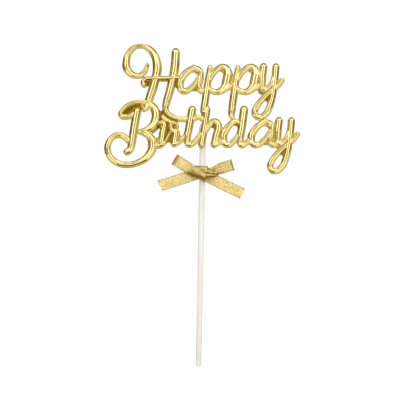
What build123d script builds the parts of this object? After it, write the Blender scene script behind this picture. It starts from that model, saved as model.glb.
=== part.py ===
"""Cake topper: two lines of moulded script lettering glued to a round stick, with a ribbon bow on the stick.

Sizes are in millimetres. +Z runs up the stick, the front faces -Y, and the origin is on the stick's axis,
level with the top of the cake that the stick is pushed into.
"""

import os
from math import cos, radians, sin, sqrt

from build123d import *

# Stick: a straight length that goes into the cake, then a slight draft up to the glued end.
stick_length = 150
stick_pin_radius = 1.85
stick_top_radius = 1.95
insertion_depth = 60
tip_round = 0.8

# Lettering: half-round beads on a flat plate that shows as a narrow flange along every stroke. Thinner webs
# fill the plate's tight corners.
x_height = 15.5
line_pitch = 33.5
lettering_tilt = 1.1
lettering_offset = 0.4
plate_thickness = 1.8
web_thickness = 1.2
flange_width = 1.05
capital_bead_radius = 1.7
stem_bead_radius = 1.45
bowl_bead_radius = 1.3
hair_bead_radius = 0.85
bead_sink_share = 0.15

# Joint of stick and lettering: a groove in the plate's back, and a dab of glue over the end of the stick.
stick_lap = 14
groove_depth = 1.4
groove_clearance = 0.05
dab_width = 5.2
dab_length = 10.5
dab_height = 2.9
dab_edge_round = 1.9
dab_overlap = 3.5

# Ribbon bow
ribbon_width = 7
ribbon_thickness = 0.4
bow_drop = 17
bow_rise = 2
running_clearance = 0.08
band_height = 6.4
turn_height = 5.6
turn_thickness = 0.55
knot_length = 12.5
knot_height = 8.2
knot_depth = 3.3
knot_slope = -14
knot_corner = 2.6
knot_edge_round = 1.1
loop_end_radius = 1.9
loop_root_radius = 1.0
left_loop_reach = 19.6
left_loop_angle = 154.5
right_loop_reach = 19.2
right_loop_angle = 17
tail_start = 4
left_tail_reach = 28.4
left_tail_angle = 197.5
right_tail_reach = 27.6
right_tail_angle = -26

# Stroke centre lines of each letter, in shares of the x-height from the letter's place on its baseline. A web
# is the corner points of a small gap that the moulding closes.
CAPITAL_H_SHARES = [
    ("capital", [(0.86, 1.10), (0.68, 0.70), (0.40, 0.62), (0.05, 0.86), (0.00, 1.24), (0.20, 1.66),
                 (0.58, 1.81), (1.00, 1.63), (1.24, 1.14), (1.16, 0.48), (0.92, -0.28)]),
    ("capital", [(1.99, 1.61), (1.95, 0.97), (1.76, 0.23), (1.64, -0.44), (1.80, -0.89)]),
    ("hair", [(1.80, -0.89), (2.14, -1.05), (2.50, -1.05)]),
    ("hair", [(0.66, 0.26), (0.74, 0.49), (0.98, 0.54), (1.60, 0.55), (2.12, 0.57)]),
    ("web", [(0.72, 0.47), (1.00, 0.45), (0.92, 0.19), (0.80, 0.27)]),
    ("web", [(1.88, 0.51), (2.16, 0.51), (2.12, 0.23), (2.02, 0.15), (1.86, 0.31)]),
]
SMALL_A_SHARES = [
    ("bowl", [(0.56, 1.00), (0.16, 0.70), (0.00, 0.24), (0.16, 0.00), (0.48, 0.21), (0.80, 0.64)]),
    ("stem", [(0.56, 0.99), (0.79, 0.86), (0.83, 0.58), (0.77, 0.16)]),
    ("hair", [(0.77, 0.16), (0.88, 0.00), (1.08, 0.15)]),
    ("web", [(0.38, 0.81), (0.52, 0.97), (0.70, 0.87), (0.74, 0.65), (0.60, 0.77)]),
    ("web", [(0.36, 0.05), (0.56, 0.19), (0.74, 0.13), (0.78, -0.06), (0.60, -0.01), (0.44, -0.03)]),
]
SMALL_P_SHARES = [
    ("stem", [(0.20, 0.99), (-0.06, -0.87)]),
    ("hair", [(-0.06, -0.87), (0.01, -1.06)]),
    ("bowl", [(0.15, 0.47), (0.44, 0.88), (0.74, 1.02), (0.92, 0.86), (0.93, 0.50), (0.72, 0.08),
              (0.42, -0.03), (0.12, 0.14)]),
    ("hair", [(0.68, 0.05), (0.92, 0.17), (1.18, 0.35)]),
    ("web", [(0.46, 0.77), (0.56, 0.93), (0.82, 0.90), (0.86, 0.55), (0.66, 0.65)]),
]
SMALL_Y_SHARES = [
    ("bowl", [(0.15, 1.00), (0.10, 0.46), (0.17, 0.11)]),
    ("hair", [(0.17, 0.11), (0.36, 0.21), (0.62, 0.74)]),
    ("stem", [(0.67, 1.04), (0.61, 0.30), (0.44, -0.55), (0.24, -0.92), (-0.04, -1.05)]),
    ("bowl", [(-0.04, -1.05), (-0.21, -0.88), (-0.10, -0.54), (0.20, -0.18), (0.50, 0.08)]),
    ("hair", [(0.50, 0.08), (0.74, 0.28), (0.89, 0.48)]),
    ("web", [(-0.16, 0.25), (0.04, 0.29), (0.10, 0.13), (0.32, -0.03), (0.14, -0.15), (-0.04, -0.07)]),
    ("web", [(0.18, -0.31), (0.38, -0.07), (0.48, -0.13), (0.40, -0.49), (0.28, -0.39)]),
]
CAPITAL_B_SHARES = [
    ("capital", [(1.16, 1.41), (1.01, 0.62), (0.94, 0.10), (0.86, -0.15), (0.75, -0.22)]),
    ("hair", [(1.04, 1.32), (0.74, 1.18), (0.52, 1.20)]),
    ("stem", [(0.52, 1.24), (0.62, 1.49), (0.92, 1.69), (1.30, 1.76), (1.70, 1.67), (1.95, 1.34),
              (1.86, 0.94), (1.58, 0.68), (1.26, 0.58)]),
    ("capital", [(1.30, 0.59), (1.64, 0.42), (1.78, 0.03), (1.60, -0.38), (1.22, -0.64), (0.78, -0.75),
                 (0.30, -0.62), (0.02, -0.24), (0.06, 0.20), (0.36, 0.45), (0.64, 0.39), (0.80, 0.22)]),
    ("hair", [(1.54, 1.58), (1.40, 1.50)]),
    ("hair", [(1.40, 1.50), (1.40, 1.72)]),
    ("web", [(0.50, 1.24), (0.60, 1.46), (0.92, 1.70), (1.42, 1.70), (1.46, 1.48), (1.16, 1.40),
             (0.92, 1.28)]),
]
SMALL_I_SHARES = [
    ("hair", [(-0.30, 0.10), (-0.12, -0.03), (0.05, 0.00)]),
    ("hair", [(-0.04, 0.93), (0.06, 0.97), (0.16, 0.92)]),
    ("bowl", [(0.16, 0.90), (0.11, 0.54), (0.05, 0.06)]),
    ("hair", [(0.05, 0.06), (0.22, 0.18), (0.46, 0.58)]),
    ("bowl", [(0.14, 1.15), (0.34, 0.97)]),
    ("web", [(-0.12, 1.40), (0.18, 1.42), (0.72, 1.08), (0.68, 0.90), (0.16, 0.92), (-0.12, 1.04)]),
    ("web", [(0.14, 0.88), (0.40, 0.92), (0.44, 0.62), (0.10, 0.14)]),
    ("web", [(-0.12, 0.99), (0.02, 0.89), (0.04, 0.69), (-0.14, 0.73)]),
    ("web", [(-0.24, 0.29), (-0.04, 0.37), (0.04, 0.07), (-0.16, 0.07)]),
]
SMALL_R_SHARES = [
    ("hair", [(0.20, 0.70), (0.275, 0.81), (0.15, 0.935), (0.025, 0.81)]),
    ("hair", [(0.025, 0.81), (0.08, 0.65), (0.24, 0.55)]),
    ("stem", [(0.24, 0.58), (0.17, 0.08)]),
    ("hair", [(0.17, 0.08), (0.36, 0.16), (0.64, 0.47)]),
    ("web", [(0.05, 0.70), (0.05, 0.90), (0.25, 0.90), (0.25, 0.70)]),
    ("web", [(0.08, 0.60), (0.22, 0.62), (0.20, 0.14), (-0.16, 0.14)]),
    ("web", [(0.24, 0.78), (0.40, 0.60), (0.62, 0.48), (0.44, 0.20), (0.22, 0.14)]),
]
SMALL_T_SHARES = [
    ("stem", [(0.21, 1.46), (0.08, 0.74), (0.01, 0.28), (0.08, 0.03)]),
    ("hair", [(0.08, 0.03), (0.26, 0.12), (0.56, 0.49)]),
    ("hair", [(0.10, 1.11), (0.28, 1.12), (0.46, 1.17), (0.66, 1.08)]),
]
SMALL_H_SHARES = [
    ("stem", [(0.22, 1.48), (-0.01, 0.06)]),
    ("bowl", [(0.07, 0.51), (0.28, 0.82), (0.50, 1.00)]),
    ("stem", [(0.50, 1.00), (0.65, 0.84), (0.58, 0.42), (0.49, 0.08)]),
    ("hair", [(0.49, 0.06), (0.66, 0.14), (0.82, 0.36)]),
    ("web", [(0.34, 0.59), (0.46, 0.91), (0.58, 0.81), (0.60, 0.47), (0.48, 0.63)]),
]
SMALL_D_SHARES = [
    ("bowl", [(0.70, 0.90), (0.50, 0.98), (0.17, 0.72), (0.02, 0.25), (0.18, 0.01)]),
    ("bowl", [(0.18, 0.01), (0.46, 0.22), (0.70, 0.59)]),
    ("stem", [(0.85, 1.46), (0.75, 0.72), (0.69, 0.26), (0.76, 0.05)]),
    ("hair", [(0.76, 0.05), (0.94, 0.14), (1.14, 0.40)]),
    ("web", [(0.44, 0.83), (0.60, 0.95), (0.72, 0.83), (0.66, 0.63), (0.58, 0.77)]),
]

# Places of the letters along each line, in shares of the x-height from the lettering's own origin.
UPPER_LINE_SHARES = [(CAPITAL_H_SHARES, -3.10), (SMALL_A_SHARES, -0.94), (SMALL_P_SHARES, 0.06),
                     (SMALL_P_SHARES, 1.18), (SMALL_Y_SHARES, 2.26)]
LOWER_LINE_SHARES = [(CAPITAL_B_SHARES, -3.82), (SMALL_I_SHARES, -1.74), (SMALL_R_SHARES, -1.34),
                     (SMALL_T_SHARES, -0.66), (SMALL_H_SHARES, -0.06), (SMALL_D_SHARES, 0.78),
                     (SMALL_A_SHARES, 1.92), (SMALL_Y_SHARES, 2.88)]

bead_radii = {"capital": capital_bead_radius, "stem": stem_bead_radius, "bowl": bowl_bead_radius,
              "hair": hair_bead_radius}
straight_limit = 1e-6

stick_top = stick_length - insertion_depth
lower_baseline = stick_top - stick_lap + stem_bead_radius
plate_back = groove_depth - stick_top_radius
tilt = radians(lettering_tilt)
lettering_plane = Plane(
    origin=(lettering_offset, plate_back, lower_baseline), x_dir=(cos(tilt), 0, sin(tilt)), z_dir=(0, -1, 0)
)


def run_directions(points):
    """Direction at each point: along the circle through its neighbours, mirrored on the chord at the ends."""
    steps = [end - start for start, end in zip(points, points[1:])]
    if len(steps) == 1:
        return [steps[0].normalized()] * 2
    inner = []
    for before, after in zip(steps, steps[1:]):
        inner.append((before / before.dot(before) + after / after.dot(after)).normalized())
    ends = []
    for step, direction in [(steps[0], inner[0]), (steps[-1], inner[-1])]:
        chord = step.normalized()
        ends.append(chord * (2 * direction.dot(chord)) - direction)
    return [ends[0], *inner, ends[1]]


def draw_arc(start, end, direction):
    """Arc from start to end that leaves along direction, or a line where they are in one line."""
    if abs(direction.cross((end - start).normalized()).Z) < straight_limit:
        Line(start, end)
    else:
        TangentArc(start, end, tangent=direction)


def draw_run(points):
    """Smooth chain of tangent arcs through the points, two arcs to a span."""
    directions = run_directions(points)
    for start, end, leaving, arriving in zip(points, points[1:], directions, directions[1:]):
        chord = end - start
        along = chord.dot(leaving + arriving)
        bend = 1 - leaving.dot(arriving)
        if bend < straight_limit:
            reach = chord.dot(chord) / (2 * along)
        else:
            reach = (sqrt(along**2 + 2 * bend * chord.dot(chord)) - along) / (2 * bend)
        before = start + leaving * reach
        after = end - arriving * reach
        middle = (before + after) / 2
        draw_arc(start, middle, leaving)
        draw_arc(middle, end, (after - before).normalized())


strokes = []
webs = []
for letters, baseline in [(UPPER_LINE_SHARES, line_pitch), (LOWER_LINE_SHARES, 0)]:
    for letter_shares, place_share in letters:
        for weight, point_shares in letter_shares:
            points = []
            for across, up in point_shares:
                points.append(Vector((place_share + across) * x_height, baseline + up * x_height))
            if weight == "web":
                webs.append(points)
                continue
            with BuildLine() as run:
                draw_run(points)
            strokes.append((bead_radii[weight], points, run.wire()))

# Lettering, built lying flat with its back on the XY plane and its front facing +Z.
outlines = []
beads = []
for radius, points, run in strokes:
    with BuildSketch() as outline:
        trace(run, line_width=2 * (radius + flange_width))
        with Locations(points[0], points[-1]):
            Circle(radius + flange_width)
    outlines.append(outline.sketch)
    bead_floor = plate_thickness - radius * bead_sink_share
    start = run @ 0
    with BuildPart() as bead:
        with BuildSketch(Plane(origin=start + (0, 0, bead_floor), x_dir=(0, 0, 1), z_dir=run % 0)) as section:
            with BuildLine():
                half_round = CenterArc((0, 0), radius, -90, 180)
                Line(half_round @ 1, half_round @ 0)
            make_face()
        sweep(path=run.moved(Location((0, 0, bead_floor))))
        with Locations((points[0].X, points[0].Y, bead_floor), (points[-1].X, points[-1].Y, bead_floor)):
            Sphere(radius, arc_size1=0)
    beads.append(bead.part)

with BuildSketch() as plate_outline:
    add(outlines)

with BuildSketch() as web_outline:
    for corners in webs:
        Polygon(*corners, align=None)

with BuildPart() as lettering_flat:
    extrude(plate_outline.sketch, amount=plate_thickness)
    extrude(web_outline.sketch, amount=web_thickness)
    add(beads)

with BuildPart() as lettering:
    with Locations(lettering_plane):
        add(lettering_flat.part)
    with Locations((0, 0, stick_top + groove_clearance)):
        Cylinder(
            stick_top_radius + groove_clearance,
            2 * stick_lap,
            align=(Align.CENTER, Align.CENTER, Align.MAX),
            mode=Mode.SUBTRACT,
        )

with BuildPart() as stick:
    with BuildSketch(Plane.XZ) as stick_profile:
        with BuildLine():
            Polyline(
                (0, -insertion_depth),
                (stick_pin_radius, -insertion_depth),
                (stick_pin_radius, 0),
                (stick_top_radius, stick_top),
                (0, stick_top),
                close=True,
            )
        make_face()
        tip = stick_profile.vertices().group_by(Axis.Y)[0].sort_by(Axis.X)[-1]
        fillet(tip, radius=tip_round)
    revolve(axis=Axis.Z)

# Glue: a rounded dab over the end of the stick, on the plate's back.
with BuildPart() as glue_dab:
    dab_origin = (0, plate_back, stick_top - dab_overlap)
    with BuildSketch(Plane(origin=dab_origin, x_dir=(0, 0, 1), z_dir=(0, 1, 0))):
        SlotOverall(dab_length, dab_width)
    extrude(amount=dab_height)
    fillet(glue_dab.faces().sort_by(Axis.Y)[-1].edges(), radius=dab_edge_round)
    add(stick.part, mode=Mode.SUBTRACT)

# Bow: an inner turn of ribbon that slides on the stick, and an outer turn with the knot, loops and tails.
bow_height = lower_baseline - bow_drop
band_top = bow_height + band_height / 2 + bow_rise
stick_taper = (stick_top_radius - stick_pin_radius) / stick_top
band_bore = stick_pin_radius + stick_taper * band_top + running_clearance
band_radius = band_bore + ribbon_thickness
turn_bore = band_radius + running_clearance
knot_back = -turn_bore - turn_thickness / 2
loop_depth = knot_back - knot_depth / 2
bow_centre = (0, 0, bow_height)

with BuildPart() as bow_band:
    with BuildSketch(Plane(bow_centre)):
        Circle(band_radius)
        Circle(band_bore, mode=Mode.SUBTRACT)
    extrude(amount=band_height / 2, both=True)

with BuildPart() as bow_knot:
    with BuildSketch(Plane(origin=(0, knot_back, bow_height), x_dir=(1, 0, 0), z_dir=(0, -1, 0))):
        RectangleRounded(knot_length, knot_height, knot_corner, rotation=knot_slope)
    extrude(amount=knot_depth)
    fillet(bow_knot.faces().sort_by(Axis.Y)[0].edges(), radius=knot_edge_round)
    with BuildSketch(Plane(bow_centre)):
        Circle(turn_bore + turn_thickness)
    extrude(amount=turn_height / 2, both=True)
    with BuildSketch(Plane(bow_centre)):
        Circle(turn_bore)
    extrude(amount=knot_height, both=True, mode=Mode.SUBTRACT)


def ribbon_loop(reach, angle):
    """Flattened loop of ribbon from the knot out to a round fold, cut back to the knot's side."""
    across = radians(angle)
    side = Plane(
        origin=(0, loop_depth, bow_height),
        x_dir=(cos(across), 0, sin(across)),
        z_dir=(-sin(across), 0, cos(across)),
    )
    with BuildPart() as loop:
        with BuildSketch(side):
            with Locations((knot_length / 4, 0)):
                Circle(loop_root_radius)
            with Locations((reach - loop_end_radius, 0)):
                Circle(loop_end_radius)
            make_hull()
            offset(amount=-ribbon_thickness, mode=Mode.SUBTRACT)
        extrude(amount=ribbon_width / 2, both=True)
        add(bow_knot.part, mode=Mode.SUBTRACT)
    return loop


def ribbon_tail(reach, angle):
    """Flat end of ribbon that leaves from behind the knot."""
    across = radians(angle)
    face = Plane(origin=(0, knot_back, bow_height), x_dir=(cos(across), 0, sin(across)), z_dir=(0, 1, 0))
    with BuildPart() as tail:
        with BuildSketch(face):
            with Locations((tail_start, 0)):
                Rectangle(reach - tail_start, ribbon_width, align=(Align.MIN, Align.CENTER))
        extrude(amount=ribbon_thickness)
    return tail


bow_left_loop = ribbon_loop(left_loop_reach, left_loop_angle)
bow_right_loop = ribbon_loop(right_loop_reach, right_loop_angle)
bow_left_tail = ribbon_tail(left_tail_reach, left_tail_angle)
bow_right_tail = ribbon_tail(right_tail_reach, right_tail_angle)

os.makedirs("parts", exist_ok=True)
nodes = {
    "lettering": lettering,
    "stick": stick,
    "glue_dab": glue_dab,
    "bow_band": bow_band,
    "bow_knot": bow_knot,
    "bow_left_loop": bow_left_loop,
    "bow_right_loop": bow_right_loop,
    "bow_left_tail": bow_left_tail,
    "bow_right_tail": bow_right_tail,
}
for name, node in nodes.items():
    node.part.label = name
    export_step(node.part, f"parts/{name}.step")
    print(name, len(node.part.solids()), "solid", round(node.part.volume, 1), "mm3", node.part.is_valid)
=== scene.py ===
# %% [markdown]
# # A cake topper with gold lettering
# The topper is a gold-plated plastic moulding: two lines of joined script, glued to a slim cream stick.
# A bow of metallic ribbon is tied round the stick. The solids are loaded first as a fixed frame. Every
# piece below is then modelled where its solid stands, so nothing has to be fitted afterwards.

# %% Load the frame
from math import cos, pi, radians, sin, tau

import bmesh
import bpy
from mathutils import Matrix, Vector
from mathutils.bvhtree import BVHTree


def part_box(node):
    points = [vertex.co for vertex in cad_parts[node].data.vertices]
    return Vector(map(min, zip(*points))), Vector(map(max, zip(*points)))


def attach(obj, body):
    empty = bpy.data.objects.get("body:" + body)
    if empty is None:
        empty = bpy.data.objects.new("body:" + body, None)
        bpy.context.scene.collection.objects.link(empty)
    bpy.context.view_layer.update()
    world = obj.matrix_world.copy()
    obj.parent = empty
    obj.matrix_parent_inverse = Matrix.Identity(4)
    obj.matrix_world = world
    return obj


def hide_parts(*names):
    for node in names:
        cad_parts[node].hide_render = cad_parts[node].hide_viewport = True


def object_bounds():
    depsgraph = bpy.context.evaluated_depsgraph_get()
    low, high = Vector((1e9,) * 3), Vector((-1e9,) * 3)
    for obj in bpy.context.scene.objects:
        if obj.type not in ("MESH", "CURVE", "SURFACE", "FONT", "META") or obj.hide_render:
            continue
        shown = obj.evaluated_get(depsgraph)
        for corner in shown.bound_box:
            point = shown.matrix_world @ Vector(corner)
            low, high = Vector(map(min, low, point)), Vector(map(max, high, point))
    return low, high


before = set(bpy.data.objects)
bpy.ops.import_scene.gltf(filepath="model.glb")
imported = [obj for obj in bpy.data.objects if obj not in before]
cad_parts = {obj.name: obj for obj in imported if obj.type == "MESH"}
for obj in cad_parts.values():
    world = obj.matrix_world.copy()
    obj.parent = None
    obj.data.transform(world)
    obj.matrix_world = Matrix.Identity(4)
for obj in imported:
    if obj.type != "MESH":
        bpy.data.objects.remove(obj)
cad_low, cad_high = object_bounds()
mm = 0.001
print("frame:", sorted(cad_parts), "size", [round(side / mm, 1) for side in cad_high - cad_low], "mm")

# %% [markdown]
# ## Camera
# The picture is taken straight from the front, from about arm's length, so the lettering's side walls
# hardly show. The stick leans a little in the picture while the words are level. The camera is rolled
# by that angle, because the stick is upright in the model. The lens could be found by trial, but it
# follows from the distance and from the width that the picture spans, which is measured on the fronts
# of the letters.

# %% Camera
picture_width = 248 * mm
camera_distance = 500 * mm
picture_centre = Vector((-1.06 * mm, -3.0 * mm, 43.8 * mm))
stick_lean = radians(1.1)

camera_data = bpy.data.cameras.new("camera")
camera_data.lens = camera_data.sensor_width * camera_distance / picture_width
camera = bpy.data.objects.new("camera", camera_data)
camera.location = picture_centre - Vector((0, camera_distance, 0))
camera.rotation_euler = (pi / 2, -stick_lean, 0)
bpy.context.scene.collection.objects.link(camera)
bpy.context.scene.camera = camera
print("camera lens", round(camera_data.lens, 1), "mm")

# %% [markdown]
# ## The strokes of the lettering
# A script is drawn with a pen that swells on the way down and thins on the way up. A font could give
# such letters, but here they lean on each other and share their joins, so each one is drawn as a few
# strokes. A stroke is a row of points: how far across and how far up, in shares of the height of a
# small letter, and how full the bead is there, as a share of a full one. The bar of the first capital
# is marked raised, because it is laid over the two stems. A web is the outline of a small gap that the
# moulding closes, deep between the beads. A gusset is one that lies open to the light.

# %% Strokes of the capitals
# A web's floor gets a painted shade later and a gusset's does not; both close their gap alike.
CAPITAL_H_SHARES = [
    ("flat", [(0.86, 1.10, 0.26), (0.68, 0.76, 0.46), (0.40, 0.67, 0.52), (0.07, 0.89, 0.80),
              (0.01, 1.24, 0.82), (0.20, 1.70, 0.50), (0.58, 1.86, 0.28), (1.00, 1.68, 0.66),
              (1.24, 1.14, 1.00), (1.16, 0.48, 1.00), (0.92, -0.28, 0.92)]),
    ("flat", [(1.99, 1.61, 0.92), (1.95, 0.97, 1.00), (1.76, 0.10, 0.92), (1.61, -0.43, 0.80),
              (1.58, -0.64, 0.66), (1.65, -0.82, 0.52), (1.82, -0.96, 0.46), (2.08, -1.06, 0.42),
              (2.50, -1.07, 0.42)]),
    ("raised", [(0.73, 0.30, 0.50), (0.68, 0.39, 0.46), (0.76, 0.50, 0.44), (0.98, 0.54, 0.44),
                (1.60, 0.55, 0.44), (2.12, 0.57, 0.42)]),
    ("web", [(0.72, 0.47), (1.00, 0.45), (0.92, 0.19), (0.80, 0.27)]),
    # The web under the raised bar gets painted shade that stands in for the bar's shadow.
    ("web", [(1.20, 0.51), (1.90, 0.52), (1.90, 0.45), (1.20, 0.44)]),
    ("web", [(1.88, 0.51), (2.16, 0.51), (2.12, 0.23), (2.02, 0.15), (1.86, 0.31)]),
]
CAPITAL_B_SHARES = [
    ("flat", [(1.16, 1.41, 0.90), (1.02, 0.62, 0.88), (0.94, 0.10, 0.84), (0.86, -0.15, 0.74),
              (0.75, -0.22, 0.70)]),
    ("flat", [(1.04, 1.32, 0.50), (0.74, 1.18, 0.50), (0.52, 1.24, 0.46), (0.62, 1.49, 0.42),
              (0.92, 1.69, 0.40), (1.30, 1.76, 0.42), (1.70, 1.67, 0.66), (1.92, 1.34, 1.06),
              (1.84, 0.94, 0.94), (1.58, 0.68, 0.60), (1.26, 0.58, 0.42)]),
    ("flat", [(1.30, 0.59, 0.46), (1.64, 0.42, 0.80), (1.78, 0.03, 1.00), (1.60, -0.38, 0.84),
              (1.22, -0.64, 0.56), (0.78, -0.74, 0.56), (0.30, -0.62, 0.58), (0.00, -0.24, 0.64),
              (0.04, 0.20, 0.58), (0.36, 0.45, 0.48), (0.64, 0.39, 0.58), (0.80, 0.22, 0.50)]),
    ("flat", [(1.54, 1.59, 0.66), (1.45, 1.49, 0.40), (1.38, 1.54, 0.40), (1.40, 1.72, 0.40)]),
    ("web", [(0.50, 1.24), (0.60, 1.46), (0.92, 1.70), (1.42, 1.70), (1.46, 1.48), (1.16, 1.40),
             (0.92, 1.28)]),
]
print("strokes and webs of the capitals:", len(CAPITAL_H_SHARES), "and", len(CAPITAL_B_SHARES))

# %% Strokes of the upper line's small letters
SMALL_A_SHARES = [
    ("flat", [(0.56, 1.00, 0.50), (0.16, 0.70, 0.72), (0.00, 0.26, 0.80), (0.16, 0.05, 0.58),
              (0.48, 0.22, 0.50), (0.80, 0.64, 0.44)]),
    ("flat", [(0.56, 0.99, 0.48), (0.79, 0.86, 0.64), (0.83, 0.58, 0.58), (0.77, 0.16, 0.54),
              (0.88, 0.05, 0.46), (1.08, 0.15, 0.40)]),
    ("gusset", [(0.38, 0.81), (0.52, 0.97), (0.70, 0.87), (0.74, 0.65), (0.60, 0.77)]),
    ("gusset", [(0.36, 0.05), (0.56, 0.19), (0.74, 0.13), (0.78, 0.00), (0.60, 0.03), (0.44, 0.02)]),
]
SHORT_STEM_SHARES = [
    ("flat", [(0.20, 0.99, 0.48), (0.10, 0.30, 0.74), (-0.03, -0.60, 0.76), (-0.06, -0.76, 0.64)]),
    ("web", [(-0.14, -0.70), (0.02, -0.70), (0.02, -0.96), (-0.12, -0.96)]),
]
LONG_STEM_SHARES = [
    ("flat", [(0.20, 0.99, 0.48), (0.10, 0.30, 0.74), (-0.03, -0.66, 0.80), (-0.05, -0.90, 0.60),
              (0.02, -1.06, 0.30)]),
]
SMALL_P_SHARES = [
    ("flat", [(0.15, 0.47, 0.50), (0.44, 0.88, 0.54), (0.74, 1.02, 0.60), (0.90, 0.86, 1.00),
              (0.89, 0.50, 1.16), (0.70, 0.11, 0.80), (0.42, 0.02, 0.50), (0.12, 0.16, 0.46)]),
    ("flat", [(0.68, 0.08, 0.52), (0.92, 0.19, 0.48), (1.18, 0.35, 0.44)]),
    ("gusset", [(0.54, 0.88), (0.60, 0.96), (0.82, 0.92), (0.88, 0.66), (0.72, 0.76)]),
]
SMALL_Y_SHARES = [
    ("flat", [(0.15, 1.02, 0.84), (0.10, 0.46, 0.82), (0.17, 0.12, 0.56), (0.36, 0.21, 0.50),
              (0.61, 0.74, 0.44)]),
    ("flat", [(0.65, 1.02, 0.76), (0.58, 0.30, 0.70), (0.41, -0.52, 0.70), (0.23, -0.86, 0.66),
              (-0.04, -0.99, 0.58), (-0.20, -0.84, 0.62), (-0.10, -0.53, 0.60), (0.20, -0.18, 0.56),
              (0.50, 0.08, 0.50), (0.74, 0.28, 0.48), (0.89, 0.48, 0.44)]),
    ("gusset", [(-0.16, 0.25), (0.04, 0.29), (0.10, 0.13), (0.32, -0.03), (0.14, -0.15),
                (-0.04, -0.07)]),
    ("web", [(0.18, -0.31), (0.38, -0.07), (0.48, -0.13), (0.40, -0.49), (0.28, -0.39)]),
]
print("strokes and webs of a, p and y:", len(SMALL_A_SHARES), len(SMALL_P_SHARES), len(SMALL_Y_SHARES))

# %% Strokes of the lower line's small letters
SMALL_I_SHARES = [
    ("flat", [(-0.30, 0.10, 0.50), (-0.12, 0.02, 0.46), (0.05, 0.05, 0.50)]),
    ("flat", [(-0.04, 0.93, 0.40), (0.06, 0.97, 0.44), (0.16, 0.90, 0.56), (0.11, 0.54, 0.78),
              (0.05, 0.09, 0.76)]),
    ("flat", [(0.05, 0.09, 0.44), (0.22, 0.19, 0.32), (0.46, 0.58, 0.30)]),
    ("flat", [(0.11, 1.17, 0.56), (0.28, 1.03, 0.60), (0.45, 0.95, 0.46)]),
    ("web", [(-0.12, 1.40), (0.18, 1.42), (0.72, 1.08), (0.68, 0.90), (0.16, 0.92), (-0.12, 1.04)]),
    ("web", [(0.14, 0.88), (0.40, 0.92), (0.44, 0.62), (0.10, 0.14)]),
    ("web", [(-0.12, 0.99), (0.02, 0.89), (0.04, 0.69), (-0.14, 0.73)]),
    ("gusset", [(-0.24, 0.29), (-0.04, 0.37), (0.04, 0.07), (-0.16, 0.07)]),
    ("gusset", [(-0.38, 0.60), (-0.16, 0.80), (0.00, 0.72), (-0.25, 0.50), (-0.32, 0.46)]),
]
SMALL_R_SHARES = [
    ("flat", [(0.20, 0.70, 0.28), (0.275, 0.81, 0.34), (0.15, 0.935, 0.42), (0.025, 0.81, 0.46),
              (0.08, 0.65, 0.50), (0.24, 0.55, 0.54)]),
    ("flat", [(0.24, 0.58, 0.66), (0.17, 0.12, 0.80)]),
    ("flat", [(0.17, 0.11, 0.48), (0.36, 0.17, 0.36), (0.64, 0.47, 0.34)]),
    ("web", [(0.05, 0.70), (0.05, 0.90), (0.25, 0.90), (0.25, 0.70)]),
    ("web", [(0.08, 0.60), (0.22, 0.62), (0.20, 0.14), (-0.16, 0.14)]),
    ("gusset", [(0.24, 0.78), (0.40, 0.62), (0.42, 0.40), (0.53, 0.40), (0.44, 0.20), (0.22, 0.14)]),
]
SMALL_T_SHARES = [
    ("flat", [(0.21, 1.46, 0.90), (0.08, 0.74, 0.84), (0.01, 0.28, 0.74), (0.08, 0.07, 0.56),
              (0.26, 0.14, 0.46), (0.56, 0.49, 0.42)]),
    ("flat", [(0.10, 1.11, 0.42), (0.28, 1.12, 0.42), (0.46, 1.17, 0.42), (0.66, 1.08, 0.40)]),
]
SMALL_H_SHARES = [
    ("flat", [(0.22, 1.48, 0.64), (-0.01, 0.06, 0.74)]),
    ("flat", [(0.07, 0.51, 0.44), (0.28, 0.82, 0.50), (0.50, 1.00, 0.60), (0.65, 0.84, 0.84),
              (0.58, 0.42, 0.88), (0.49, 0.08, 0.76)]),
    ("flat", [(0.49, 0.06, 0.50), (0.66, 0.14, 0.44), (0.82, 0.36, 0.40)]),
    ("web", [(0.39, 0.74), (0.46, 0.91), (0.58, 0.81), (0.58, 0.60), (0.49, 0.68)]),
]
SMALL_D_SHARES = [
    ("flat", [(0.70, 0.90, 0.44), (0.50, 0.98, 0.50), (0.17, 0.72, 0.72), (0.02, 0.27, 0.82),
              (0.18, 0.06, 0.56), (0.46, 0.23, 0.48), (0.70, 0.59, 0.42)]),
    ("flat", [(0.85, 1.46, 0.94), (0.75, 0.72, 0.90), (0.69, 0.26, 0.80), (0.76, 0.05, 0.60),
              (0.94, 0.14, 0.44), (1.14, 0.40, 0.42)]),
    ("web", [(0.44, 0.83), (0.60, 0.95), (0.72, 0.83), (0.66, 0.63), (0.58, 0.77)]),
]
lower_letters = (SMALL_I_SHARES, SMALL_R_SHARES, SMALL_T_SHARES, SMALL_H_SHARES, SMALL_D_SHARES)
print("strokes and webs of i, r, t, h and d:", *(len(letter) for letter in lower_letters))

# %% [markdown]
# ## The two lines
# A line is a row of letters, each with its place along the baseline, again in shares of the height of a
# small letter. The letters could be spaced evenly, but a script is spaced by eye, so the places are
# written out.

# %% Two lines of letters
UPPER_LINE_SHARES = [
    (CAPITAL_H_SHARES, -3.10), (SMALL_A_SHARES, -0.94), (SMALL_P_SHARES, 0.06), (SHORT_STEM_SHARES, 0.06),
    (SMALL_P_SHARES, 1.18), (LONG_STEM_SHARES, 1.18), (SMALL_Y_SHARES, 2.26),
]
LOWER_LINE_SHARES = [
    (CAPITAL_B_SHARES, -3.82), (SMALL_I_SHARES, -1.74), (SMALL_R_SHARES, -1.34), (SMALL_T_SHARES, -0.66),
    (SMALL_H_SHARES, -0.06), (SMALL_D_SHARES, 0.78), (SMALL_A_SHARES, 1.92), (SMALL_Y_SHARES, 2.88),
]
print("letters and stems:", len(UPPER_LINE_SHARES), "and", len(LOWER_LINE_SHARES))

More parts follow.
